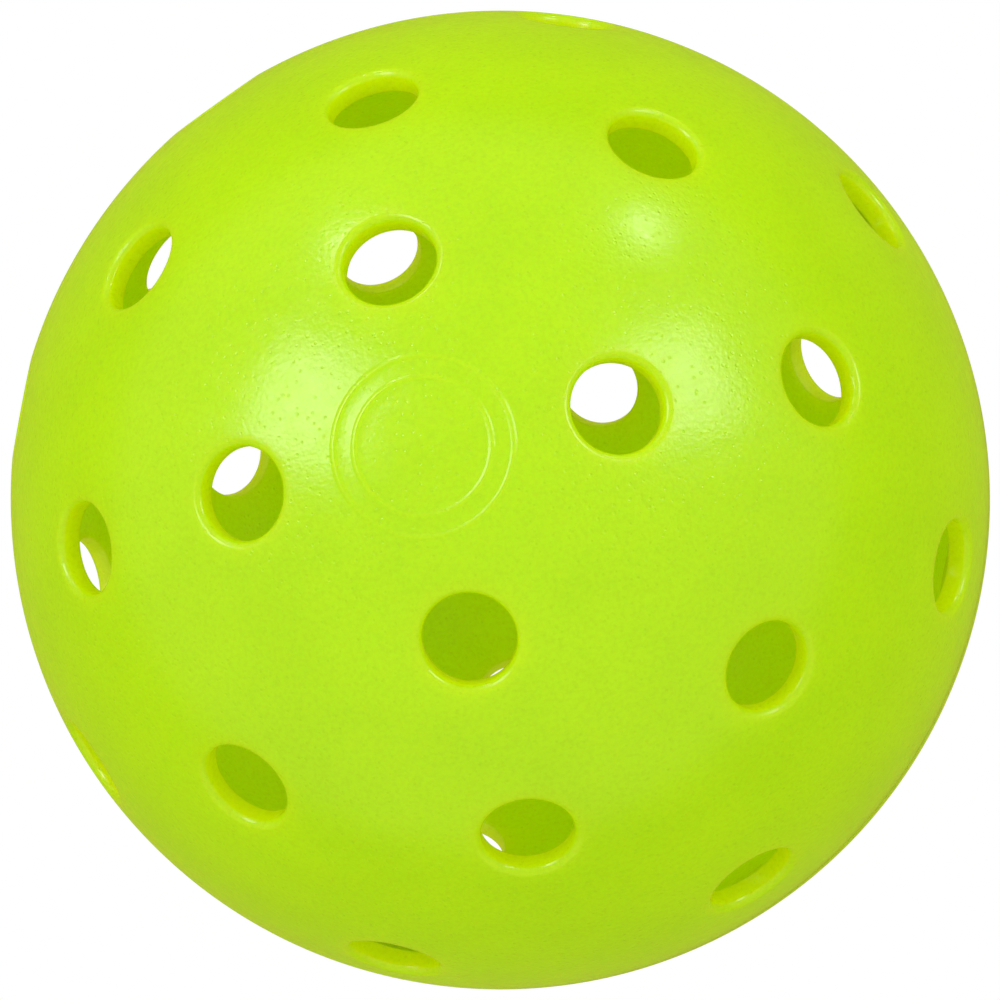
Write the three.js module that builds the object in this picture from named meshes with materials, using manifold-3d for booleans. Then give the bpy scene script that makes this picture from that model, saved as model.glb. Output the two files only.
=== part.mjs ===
// An outdoor pickleball ball: a hollow plastic shell with forty round holes, made as two
// identical moulded halves that are welded rim to rim. Millimetres, +Z up.
// The origin is the centre of the ball. +Z is the polar axis, through the middle of the upper
// half, and +X runs under one of the four holes nearest the upper pole.
import * as THREE from 'three';
import { mergeVertices } from 'three/addons/utils/BufferGeometryUtils.js';
import Module from 'manifold-3d';

const wasm = await Module();
wasm.setup();

// Driving dimensions
const BALL_DIAMETER = 74;
const WALL = 1.75;
const HOLE_DIAMETER = 7.1;
const SEAM_GAP = 0.3; // between the two rims
const HALF_TURN = 26.5; // degrees that the lower half is turned about the pole before it is turned over

// The rings of holes in one half, from the pole down: how many, their height above the rim's
// plane, and where the first one lies, in degrees
const HOLE_RINGS = [
  { count: 4, latitude: 68.2, start: 0 },
  { count: 8, latitude: 42.4, start: 0 },
  { count: 8, latitude: 15.7, start: 22.5 },
];

// The bead of plastic that the weld squeezes out along the inside of the seam
const BEAD_THICKNESS = 0.9;
const BEAD_WIDTH = 2.6;
const BEAD_GAP = 0.3; // to the wall behind it

// Facets
const SEGMENTS_ROUND = 48;
const STEPS_TO_POLE = 12;
const HOLE_SIDES = 24;
const BEAD_STEPS = 6;

const OUTER_RADIUS = BALL_DIAMETER / 2;
const INNER_RADIUS = OUTER_RADIUS - WALL;
const RIM_HEIGHT = SEAM_GAP / 2;

const plastic = new THREE.MeshStandardMaterial({ color: 0xb9eb1c, roughness: 0.45, metalness: 0 });
const weldPlastic = new THREE.MeshStandardMaterial({ color: 0xa9dc18, roughness: 0.35, metalness: 0 });

// A sphere's section from the rim to the pole, as points (distance from the axis, height)
function arcToPole(radius) {
  const fromRim = Math.asin(RIM_HEIGHT / radius);
  const points = [];
  for (let i = 0; i < STEPS_TO_POLE; i++) {
    const angle = THREE.MathUtils.lerp(fromRim, Math.PI / 2, i / STEPS_TO_POLE);
    points.push(new THREE.Vector2(radius * Math.cos(angle), radius * Math.sin(angle)));
  }
  points.push(new THREE.Vector2(0, radius));
  return points;
}

// A solid of revolution about Z from a section that runs anticlockwise
function turned(section) {
  return new THREE.LatheGeometry(section, SEGMENTS_ROUND).rotateX(Math.PI / 2);
}

function toSolid(geometry) {
  const bare = geometry.clone();
  bare.deleteAttribute('normal');
  bare.deleteAttribute('uv');
  const merged = mergeVertices(bare, 1e-4);
  const vertProperties = new Float32Array(merged.attributes.position.array);
  const triVerts = new Uint32Array(merged.index.array);
  return new wasm.Manifold(new wasm.Mesh({ numProp: 3, vertProperties, triVerts }));
}

function toGeometry(solid) {
  const mesh = solid.getMesh();
  const geometry = new THREE.BufferGeometry();
  geometry.setAttribute('position', new THREE.BufferAttribute(mesh.vertProperties, 3));
  geometry.setIndex(new THREE.BufferAttribute(mesh.triVerts, 1));
  geometry.computeVertexNormals();
  return geometry;
}

// One round hole, bored straight at the ball's centre
function holeCutter(latitude, azimuth) {
  const depth = 4 * WALL;
  const cutter = new THREE.CylinderGeometry(HOLE_DIAMETER / 2, HOLE_DIAMETER / 2, depth, HOLE_SIDES);
  cutter.rotateZ(-Math.PI / 2);
  cutter.translate(OUTER_RADIUS - WALL / 2, 0, 0);
  cutter.rotateY(-THREE.MathUtils.degToRad(latitude));
  cutter.rotateZ(THREE.MathUtils.degToRad(azimuth));
  return toSolid(cutter);
}

// Half of the ball, open side down: a thin dome with its rings of holes
function halfShell() {
  const section = [...arcToPole(OUTER_RADIUS), ...arcToPole(INNER_RADIUS).reverse()];
  section.push(section[0].clone());
  let dome = toSolid(turned(section));
  for (const { count, latitude, start } of HOLE_RINGS) {
    for (let i = 0; i < count; i++) {
      dome = dome.subtract(holeCutter(latitude, start + (360 / count) * i));
    }
  }
  return toGeometry(dome);
}

// The ring of re-set plastic inside the seam: flat to the wall, round towards the hollow
function weldBead() {
  const outside = INNER_RADIUS - BEAD_GAP;
  const section = [];
  for (let i = 0; i <= BEAD_STEPS; i++) {
    const angle = (Math.PI * i) / BEAD_STEPS;
    const inwards = BEAD_THICKNESS * Math.sin(angle);
    const height = (BEAD_WIDTH / 2) * Math.cos(angle);
    section.push(new THREE.Vector2(outside - inwards, height));
  }
  section.push(section[0].clone());
  return turned(section);
}

const ball = new THREE.Group();

const upperHalf = new THREE.Mesh(halfShell(), plastic);
upperHalf.name = 'upper_half_shell';
ball.add(upperHalf);

const lowerHalf = new THREE.Mesh(halfShell(), plastic);
lowerHalf.name = 'lower_half_shell';
lowerHalf.rotation.set(Math.PI, 0, THREE.MathUtils.degToRad(HALF_TURN));
ball.add(lowerHalf);

const bead = new THREE.Mesh(weldBead(), weldPlastic);
bead.name = 'weld_bead';
ball.add(bead);

export default ball;
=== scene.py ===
import math

import bmesh
import bpy
from mathutils import Matrix, Vector, noise


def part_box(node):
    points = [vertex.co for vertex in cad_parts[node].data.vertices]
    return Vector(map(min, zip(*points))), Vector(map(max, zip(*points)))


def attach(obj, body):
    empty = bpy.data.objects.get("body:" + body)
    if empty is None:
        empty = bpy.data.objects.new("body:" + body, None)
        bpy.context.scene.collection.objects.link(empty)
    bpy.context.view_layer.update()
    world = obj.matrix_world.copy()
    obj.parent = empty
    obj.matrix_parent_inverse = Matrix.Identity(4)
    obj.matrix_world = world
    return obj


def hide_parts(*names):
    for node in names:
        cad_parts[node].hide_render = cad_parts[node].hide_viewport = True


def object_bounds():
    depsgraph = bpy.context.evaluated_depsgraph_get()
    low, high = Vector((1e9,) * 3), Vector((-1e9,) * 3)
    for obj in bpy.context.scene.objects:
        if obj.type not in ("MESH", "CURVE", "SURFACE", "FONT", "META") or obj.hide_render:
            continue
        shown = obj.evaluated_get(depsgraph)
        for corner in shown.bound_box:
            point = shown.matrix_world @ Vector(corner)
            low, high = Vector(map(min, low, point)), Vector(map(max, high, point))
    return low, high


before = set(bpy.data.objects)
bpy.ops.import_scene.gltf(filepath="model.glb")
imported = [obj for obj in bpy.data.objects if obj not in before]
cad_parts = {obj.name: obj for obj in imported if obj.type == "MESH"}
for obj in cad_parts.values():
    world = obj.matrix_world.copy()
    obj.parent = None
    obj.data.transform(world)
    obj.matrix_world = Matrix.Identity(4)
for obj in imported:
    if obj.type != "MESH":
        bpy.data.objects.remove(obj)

cad_low, cad_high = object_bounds()
mm = 0.001

# ---------------------------------------------------------------------------
# Camera and light table
# A long lens looks almost straight down on the upper pole. The ball lies on a pale table that
# glows softly from below, among two soft boxes and four lamps.
# ---------------------------------------------------------------------------
ball_radius = cad_high.z
camera_azimuth = 42.5
camera_elevation = 79.75
camera_roll = -55.0
camera_distance = 11 * ball_radius
ball_width_in_view = 0.9806

camera_turn = (
    Matrix.Rotation(math.radians(camera_azimuth), 4, "Z")
    @ Matrix.Rotation(math.radians(90 - camera_elevation), 4, "X")
    @ Matrix.Rotation(math.radians(camera_roll), 4, "Z")
)
camera_data = bpy.data.cameras.new("camera")
camera_data.sensor_width = 36
limb_slope = 1 / math.sqrt((camera_distance / ball_radius) ** 2 - 1)
camera_data.lens = camera_data.sensor_width * ball_width_in_view / (2 * limb_slope)
camera_data.clip_start = 0.01
camera = bpy.data.objects.new("camera", camera_data)
camera.matrix_world = camera_turn @ Matrix.Translation((0, 0, camera_distance))
bpy.context.scene.collection.objects.link(camera)
bpy.context.scene.camera = camera


def soft_light(name, towards, distance, size, power):
    """A square lamp facing the ball, placed by its direction in the camera's own axes."""
    lamp_data = bpy.data.lights.new(name, "AREA")
    lamp_data.size = size
    lamp_data.energy = power
    lamp = bpy.data.objects.new(name, lamp_data)
    place = camera_turn.to_3x3() @ Vector(towards).normalized() * distance
    lamp.matrix_world = Matrix.Translation(place) @ place.to_track_quat("Z", "Y").to_matrix().to_4x4()
    bpy.context.scene.collection.objects.link(lamp)
    return lamp


soft_light("left_soft_box", (-0.67, 0.33, 0.665), 0.6, 0.25, 0.58)
soft_light("right_soft_box", (0.635, 0.415, 0.65), 0.6, 0.22, 0.4)
soft_light("left_small_lamp", (-0.475, 0.8, 0.355), 0.6, 0.03, 0.1)
soft_light("right_small_lamp", (0.455, 0.845, 0.3), 0.6, 0.025, 0.09)
top_light = soft_light("top_light", (0.0, 0.9, 0.45), 0.8, 0.6, 0.3)
low_light = soft_light("low_light", (0.1, -1.0, 0.05), 0.8, 0.6, 0.7)
top_light.visible_glossy = False
low_light.visible_glossy = False


def seen_and_thrown(nodes, links, seen, thrown):
    """Mixes what the eye sees of a surface with what it throws on the ball."""
    direct = nodes.new("ShaderNodeLightPath")
    mix = nodes.new("ShaderNodeMixShader")
    links.new(direct.outputs["Is Camera Ray"], mix.inputs[0])
    links.new(thrown.outputs[0], mix.inputs[1])
    links.new(seen.outputs[0], mix.inputs[2])
    return mix


tent = bpy.data.worlds.new("light_tent")
bpy.context.scene.world = tent
tent.use_nodes = True
nodes = tent.node_tree.nodes
links = tent.node_tree.links
tent_thrown = nodes["Background"]
tent_thrown.inputs["Color"].default_value = (1, 1, 0.3, 1)
tent_thrown.inputs["Strength"].default_value = 0.8
tent_seen = nodes.new("ShaderNodeBackground")
tent_seen.inputs["Color"].default_value = (0.86, 0.86, 0.86, 1)
tent_mix = seen_and_thrown(nodes, links, tent_seen, tent_thrown)
links.new(tent_mix.outputs[0], nodes["World Output"].inputs["Surface"])
bpy.context.scene.view_settings.view_transform = "Standard"

table_mesh = bmesh.new()
bmesh.ops.create_grid(table_mesh, x_segments=2, y_segments=2, size=3)
bmesh.ops.translate(table_mesh, vec=(0, 0, cad_low.z), verts=table_mesh.verts)
table_data = bpy.data.meshes.new("light_table")
table_mesh.to_mesh(table_data)
table_mesh.free()
light_table = bpy.data.objects.new("light_table", table_data)
bpy.context.scene.collection.objects.link(light_table)
table_material = bpy.data.materials.new("light_table")
table_material.use_nodes = True
nodes = table_material.node_tree.nodes
links = table_material.node_tree.links
table_seen = nodes.new("ShaderNodeEmission")
table_seen.inputs["Strength"].default_value = 1.0
table_thrown = nodes.new("ShaderNodeEmission")
table_thrown.inputs["Color"].default_value = (1, 1, 0.15, 1)
table_thrown.inputs["Strength"].default_value = 0.5
table_mix = seen_and_thrown(nodes, links, table_seen, table_thrown)
links.new(table_mix.outputs[0], nodes["Material Output"].inputs["Surface"])
table_data.materials.append(table_material)

# The light that soaks through the wall from all round comes out warmer. One soft lamp in the hollow
# middle stands for it.
soaked_data = bpy.data.lights.new("soaked_light", "POINT")
soaked_data.shadow_soft_size = 8 * mm
soaked_data.energy = 0.01
soaked_data.color = (1, 0.56, 0.03)
soaked_light = bpy.data.objects.new("soaked_light", soaked_data)
soaked_light.visible_camera = False
soaked_light.visible_glossy = False
bpy.context.scene.collection.objects.link(soaked_light)

# ---------------------------------------------------------------------------
# Upper half shell
# One moulded half of the ball, a thin dome of yellow-green polyethylene. Its holes are bored
# square to the surface, with well rounded outside edges, and its rim is welded to the other
# half's. Two fine raised rings mark the pole.
# ---------------------------------------------------------------------------
clearance_behind_bead = 0.3 * mm
inner_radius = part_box("weld_bead")[1].x + clearance_behind_bead
middle_radius = (ball_radius + inner_radius) / 2
skin_cells = 84
hole_radius = 3.34 * mm
outside_edge_round = 0.55 * mm
inside_edge_round = 0.2 * mm
hole_sides = 90
hole_rings = (
    # how many, degrees above the seam, first one's degrees round
    (4, 68.2, 0.0),
    (8, 42.4, 0.0),
    (8, 15.7, 22.5),
)
skin_opening = math.radians(8.8)
collar_reach = math.radians(7.8)
seam_gap = 0.03 * mm
seam_groove = 0.12 * mm
out_of_round = 0.1 * mm
out_of_round_length = 22 * mm
nearby = math.radians(3)
snap_distance = 0.02 * mm
reach_margin = 0.01
weld_distance = 1e-3 * mm


def half_skin(radius, rim_height):
    """Half a sphere of even four-sided cells, open at its rim."""
    skin = bmesh.new()
    bmesh.ops.create_cube(skin, size=2)
    bmesh.ops.subdivide_edges(skin, edges=skin.edges[:], cuts=skin_cells - 1, use_grid_fill=True)
    everything = skin.verts[:] + skin.edges[:] + skin.faces[:]
    bmesh.ops.bisect_plane(skin, geom=everything, dist=1e-5, plane_no=(0, 0, -1), clear_outer=True)
    for corner in skin.verts:
        even = Vector([math.tan(c * math.pi / 4) for c in corner.co])
        corner.co = even.normalized() * radius
    rim = dict.fromkeys(corner for edge in skin.edges if edge.is_boundary for corner in edge.verts)
    bmesh.ops.translate(skin, verts=list(rim), vec=(0, 0, rim_height))
    return skin


def cut_opening(skin, radius, axis, reach):
    """Cuts a round opening in a skin, about an axis and as wide as reach says."""
    near = [face for face in skin.faces if face.verts[0].co.angle(axis) < reach + nearby]
    edges = dict.fromkeys(edge for face in near for edge in face.edges)
    corners = dict.fromkeys(corner for face in near for corner in face.verts)
    bmesh.ops.bisect_plane(
        skin,
        geom=near + list(edges) + list(corners),
        dist=snap_distance,
        plane_co=axis * radius * math.cos(reach),
        plane_no=axis,
        clear_outer=True,
    )


def turned(section, sides):
    """A closed ring or cap made by turning a section (across, along) about Z."""
    part = bmesh.new()
    corners = [part.verts.new((across, 0, along)) for across, along in section]
    lines = [part.edges.new(pair) for pair in zip(corners, corners[1:])]
    bmesh.ops.spin(
        part,
        geom=corners + lines,
        axis=(0, 0, 1),
        angle=2 * math.pi,
        steps=sides,
        use_merge=True,
    )
    bmesh.ops.remove_doubles(part, verts=part.verts, dist=1e-7)
    return part


def add_part(shell, part, place):
    """Puts a part into the shell at its place."""
    part_data = bpy.data.meshes.new("part")
    part.to_mesh(part_data)
    part_data.transform(place)
    shell.from_mesh(part_data)
    bpy.data.meshes.remove(part_data)


def arc(centre, radius, start, end, steps):
    """Points (across, along) on a circle's arc, both ends included."""
    turns = [start + (end - start) * i / steps for i in range(steps + 1)]
    return [(centre[0] + radius * math.cos(t), centre[1] + radius * math.sin(t)) for t in turns]


def hole_collar():
    """A hole's wall with its rounded edges and a little of both skins round it."""
    outside = hole_radius + outside_edge_round
    outside_centre = (outside, math.sqrt((ball_radius - outside_edge_round) ** 2 - outside**2))
    inside = hole_radius + inside_edge_round
    inside_centre = (inside, math.sqrt((inner_radius + inside_edge_round) ** 2 - inside**2))
    outwards = math.atan2(outside_centre[1], outside_centre[0])
    inwards = math.atan2(inside_centre[1], inside_centre[0]) + math.pi
    first_reach = math.pi / 2 - outwards
    last_reach = math.asin(inside_centre[0] / (inner_radius + inside_edge_round))
    section = arc((0, 0), ball_radius, math.pi / 2 - collar_reach, math.pi / 2 - first_reach, 3)[:-1]
    section += arc(outside_centre, outside_edge_round, outwards, math.pi, 8)
    section += arc(inside_centre, inside_edge_round, math.pi, inwards, 4)
    section += arc((0, 0), inner_radius, math.pi / 2 - last_reach, math.pi / 2 - collar_reach, 3)[1:]
    return turned(section, hole_sides)


pole_mark_radius = 5.6 * mm
pole_mark_half_width = 0.75 * mm
pole_line_half_width = 0.3 * mm
pole_line_height = 0.08 * mm
pole_opening = math.radians(11.9)
pole_cap_reach = math.radians(10.8)
pole_cap_sides = 144


def pole_rise(across):
    """How far the surface stands proud near the pole: two fine ridges, one inside the other."""
    rise = 0.0
    for line in (pole_mark_radius - pole_mark_half_width, pole_mark_radius + pole_mark_half_width):
        from_line = abs(across - line) / pole_line_half_width
        if from_line < 1:
            rise = pole_line_height * (1 - from_line**2) ** 2
    return rise


def pole_cap():
    """The outside skin round the pole, with its raised mark."""
    edge = ball_radius * math.sin(pole_cap_reach)
    outer_line = pole_mark_radius + pole_mark_half_width
    inner_line = pole_mark_radius - pole_mark_half_width
    steps = [edge, (edge + outer_line + pole_line_half_width) / 2]
    for line in (outer_line, inner_line):
        steps += [line + pole_line_half_width * (1 - i / 6) for i in range(13)]
    steps += [(inner_line - pole_line_half_width) * (1 - i / 8) for i in range(1, 9)]
    section = [(across, math.sqrt((ball_radius + pole_rise(across)) ** 2 - across**2)) for across in steps]
    return turned(section, pole_cap_sides)


def open_edges_near(shell, axis, reach, outside):
    """The shell's open edges about an axis, on its outside or its inside."""
    found = []
    for edge in shell.edges:
        corner = edge.verts[0].co
        if edge.is_boundary and (corner.length > middle_radius) == outside and corner.angle(axis) < reach:
            found.append(edge)
    return found


def rim_face():
    """The rim's flat face and its rounded outside edge, with a corner at each of the skins' own."""
    lip_centre = (ball_radius - seam_groove, seam_gap / 2 + seam_groove)
    section = arc(lip_centre, seam_groove, 0, -math.pi / 2, 4)
    section.append((inner_radius, seam_gap / 2))
    return turned(section, 4 * skin_cells)


def wobble(shell):
    """A moulded ball is a little out of round. It is only ever taken in, so that it stays in its box."""
    for corner in shell.verts:
        swell = noise.noise(corner.co / out_of_round_length)
        corner.co *= 1 - out_of_round / ball_radius * (0.5 + 0.5 * swell)


outside_skin = half_skin(ball_radius, seam_gap / 2 + seam_groove)
inside_skin = half_skin(inner_radius, seam_gap / 2)
hole_places = [
    Matrix.Rotation(math.radians(first + 360 / count * number), 4, "Z")
    @ Matrix.Rotation(math.radians(90 - latitude), 4, "Y")
    for count, latitude, first in hole_rings
    for number in range(count)
]
pole = Vector((0, 0, 1))
cut_opening(outside_skin, ball_radius, pole, pole_opening)
for place in hole_places:
    cut_opening(outside_skin, ball_radius, place.col[2].to_3d(), skin_opening)
    cut_opening(inside_skin, inner_radius, place.col[2].to_3d(), skin_opening)

shell = bmesh.new()
add_part(shell, outside_skin, Matrix.Identity(4))
add_part(shell, inside_skin, Matrix.Identity(4))
add_part(shell, rim_face(), Matrix.Identity(4))
add_part(shell, pole_cap(), Matrix.Identity(4))
collar = hole_collar()
for place in hole_places:
    add_part(shell, collar, place)
bmesh.ops.bridge_loops(shell, edges=open_edges_near(shell, pole, pole_opening + reach_margin, True))
for place in hole_places:
    for outside in (True, False):
        axis = place.col[2].to_3d()
        loops = open_edges_near(shell, axis, skin_opening + reach_margin, outside)
        bmesh.ops.bridge_loops(shell, edges=loops)
bmesh.ops.remove_doubles(shell, verts=shell.verts, dist=weld_distance)
wobble(shell)
bmesh.ops.recalc_face_normals(shell, faces=shell.faces)
for face in shell.faces:
    face.smooth = True
upper_data = bpy.data.meshes.new("upper_half")
shell.to_mesh(upper_data)
shell.free()
upper_half = bpy.data.objects.new("upper_half", upper_data)
bpy.context.scene.collection.objects.link(upper_half)

outside_colour = (0.50, 0.86, 0.001, 1)
# Painted light: a brighter colour for the cut walls, a painted glow.
painted_wall_glow_colour = (0.66, 0.99, 0.001, 1)
# Painted light: a lighter colour for the inside skin, a painted glow in the hollow.
painted_inside_glow_colour = (0.55, 0.90, 0.0005, 1)

shell_plastic = bpy.data.materials.new("shell_plastic")
shell_plastic.use_nodes = True
nodes = shell_plastic.node_tree.nodes
links = shell_plastic.node_tree.links
plastic = nodes["Principled BSDF"]
plastic.inputs["IOR"].default_value = 1.5
plastic.inputs["Specular IOR Level"].default_value = 0.9
plastic.inputs["Subsurface Weight"].default_value = 1.0
plastic.inputs["Subsurface Scale"].default_value = 2.0 * mm
plastic.inputs["Subsurface Radius"].default_value = (2.5, 1.8, 0.1)


def node(kind, inputs=None, **settings):
    """A shader node with its settings and inputs given."""
    made = nodes.new("ShaderNode" + kind)
    for name, value in settings.items():
        setattr(made, name, value)
    for place, value in (inputs or {}).items():
        if isinstance(value, bpy.types.NodeSocket):
            links.new(value, made.inputs[place])
        else:
            made.inputs[place].default_value = value
    return made


def maths(operation, *values):
    """A sum of values, or another operation on them."""
    return node("Math", dict(enumerate(values)), operation=operation).outputs[0]


def step_between(value, low, high, low_value, high_value):
    """A smooth step from one value to another."""
    ramp = node("MapRange", interpolation_type="SMOOTHSTEP")
    for place, setting in enumerate((value, low, high, low_value, high_value)):
        if isinstance(setting, bpy.types.NodeSocket):
            links.new(setting, ramp.inputs[place])
        else:
            ramp.inputs[place].default_value = setting
    return ramp.outputs[0]


def mixed_colour(factor, first, second, blend="MIX"):
    """Two colours mixed, or one multiplied by the other."""
    made = node("Mix", data_type="RGBA", blend_type=blend)
    for place, value in ((0, factor), (6, first), (7, second)):
        if isinstance(value, bpy.types.NodeSocket):
            links.new(value, made.inputs[place])
        else:
            made.inputs[place].default_value = value
    return made.outputs[2]


def grain(size, detail, roughness):
    """Even noise from 0 to 1, with specks of a given size."""
    made = node("TexNoise", {"Vector": place_on_ball, "Scale": 1 / size}, noise_dimensions="3D")
    made.inputs["Detail"].default_value = detail
    made.inputs["Roughness"].default_value = roughness
    return made.outputs["Fac"]


place_on_ball = node("TexCoord").outputs["Object"]
from_centre = node("VectorMath", {0: place_on_ball}, operation="LENGTH").outputs["Value"]

# Painted light: the cut walls get a brighter colour than the skin. It is a painted glow that stands in for
# the light that runs inside the plastic and comes out there.
painted_wall_glow_mask = step_between(from_centre, ball_radius - 0.75 * mm, ball_radius - 0.2 * mm, 1.0, 0.0)
# Painted light: the inside skin gets a lighter colour than the outside. It is a painted glow that stands
# in for the light that fills the hollow.
painted_inside_glow_mask = step_between(from_centre, inner_radius, inner_radius + 0.25 * mm, 1.0, 0.0)
colour = mixed_colour(painted_wall_glow_mask, outside_colour, painted_wall_glow_colour)
colour = mixed_colour(painted_inside_glow_mask, colour, painted_inside_glow_colour)

# Pigment that isn't quite evenly mixed, in clouds and in specks.
clouds = step_between(grain(9 * mm, 2.0, 0.5), 0.3, 0.7, 0.0, 0.05)
specks = step_between(grain(0.35 * mm, 3.0, 0.6), 0.35, 0.75, 0.0, 0.07)
shade = maths("SUBTRACT", 1.0, maths("ADD", clouds, specks))
shade_colour = node("CombineColor", {0: shade, 1: shade, 2: shade}).outputs[0]
colour = mixed_colour(1.0, colour, shade_colour, "MULTIPLY")

# Pinholes from small bubbles in the mould, and the mould's fine peened grain. The pinholes are also
# darkened in colour, painted shade in the pits.
pore_spacing = 0.62 * mm
bubbles = node("TexVoronoi", {"Vector": place_on_ball, "Scale": 1 / pore_spacing}, feature="F1")
pores = bubbles.outputs["Distance"]
pore_and_painted_shade = step_between(pores, 0.1, 0.24, 1.0, 0.0)
# Painted shade: the pinholes' colour is darkened a little.
colour = mixed_colour(maths("MULTIPLY", pore_and_painted_shade, 0.13), colour, (0.30, 0.56, 0.0, 1))
links.new(colour, plastic.inputs["Base Color"])
links.new(step_between(grain(1.2 * mm, 2.0, 0.5), 0.3, 0.7, 0.19, 0.27), plastic.inputs["Roughness"])
peened = grain(0.36 * mm, 1.0, 0.5)
height = maths("SUBTRACT", peened, maths("MULTIPLY", pore_and_painted_shade, 0.8))
relief = node("Bump", {"Strength": 1.0, "Distance": 0.02 * mm, "Height": height})
links.new(relief.outputs["Normal"], plastic.inputs["Normal"])
upper_data.materials.append(shell_plastic)

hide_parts("upper_half_shell")
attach(upper_half, "root")

# ---------------------------------------------------------------------------
# Lower half shell
# The same moulding, turned about the pole and then over, so that its rings of holes don't line
# up with the upper half's across the seam.
# ---------------------------------------------------------------------------
half_turn = math.radians(26.5)
lower_data = upper_data.copy()
lower_data.name = "lower_half"
lower_data.transform(Matrix.Rotation(math.pi, 4, "X") @ Matrix.Rotation(half_turn, 4, "Z"))
lower_half = bpy.data.objects.new("lower_half", lower_data)
bpy.context.scene.collection.objects.link(lower_half)
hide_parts("lower_half_shell")
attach(lower_half, "root")

# ---------------------------------------------------------------------------
# Weld bead
# The plastic that the hot rims squeeze out along the inside of the seam, set again as a low,
# slightly uneven ridge.
# ---------------------------------------------------------------------------
bead_half_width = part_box("weld_bead")[1].z
bead_rise = 0.9 * mm
bead_height = bead_rise + clearance_behind_bead
bead_steps = 10
bead_sides = 240
bead_unevenness = 0.15 * mm
bead_wave_length = 2.5 * mm
bead = bmesh.new()
corners = []
for i in range(bead_steps + 1):
    turn = math.pi * i / bead_steps
    level = bead_half_width * math.cos(turn)
    wall_at_level = math.sqrt(inner_radius**2 - level**2)
    corners.append(bead.verts.new((wall_at_level - bead_height * math.sin(turn), 0, level)))
outline = [bead.edges.new(pair) for pair in zip(corners, corners[1:] + corners[:1])]
bmesh.ops.spin(
    bead,
    geom=corners + outline,
    axis=(0, 0, 1),
    angle=2 * math.pi,
    steps=bead_sides,
    use_merge=True,
)
for corner in bead.verts:
    swell = noise.noise(corner.co / bead_wave_length)
    flat = Vector((corner.co.x, corner.co.y, 0))
    proud = (math.sqrt(inner_radius**2 - corner.co.z**2) - flat.length) / bead_height
    corner.co -= flat.normalized() * bead_unevenness * swell * proud
bmesh.ops.recalc_face_normals(bead, faces=bead.faces)
for face in bead.faces:
    face.smooth = True
bead_data = bpy.data.meshes.new("seam_bead")
bead.to_mesh(bead_data)
bead.free()
seam_bead = bpy.data.objects.new("seam_bead", bead_data)
bpy.context.scene.collection.objects.link(seam_bead)
weld_plastic = shell_plastic.copy()
weld_plastic.name = "weld_plastic"
bead_data.materials.append(weld_plastic)
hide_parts("weld_bead")
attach(seam_bead, "root")
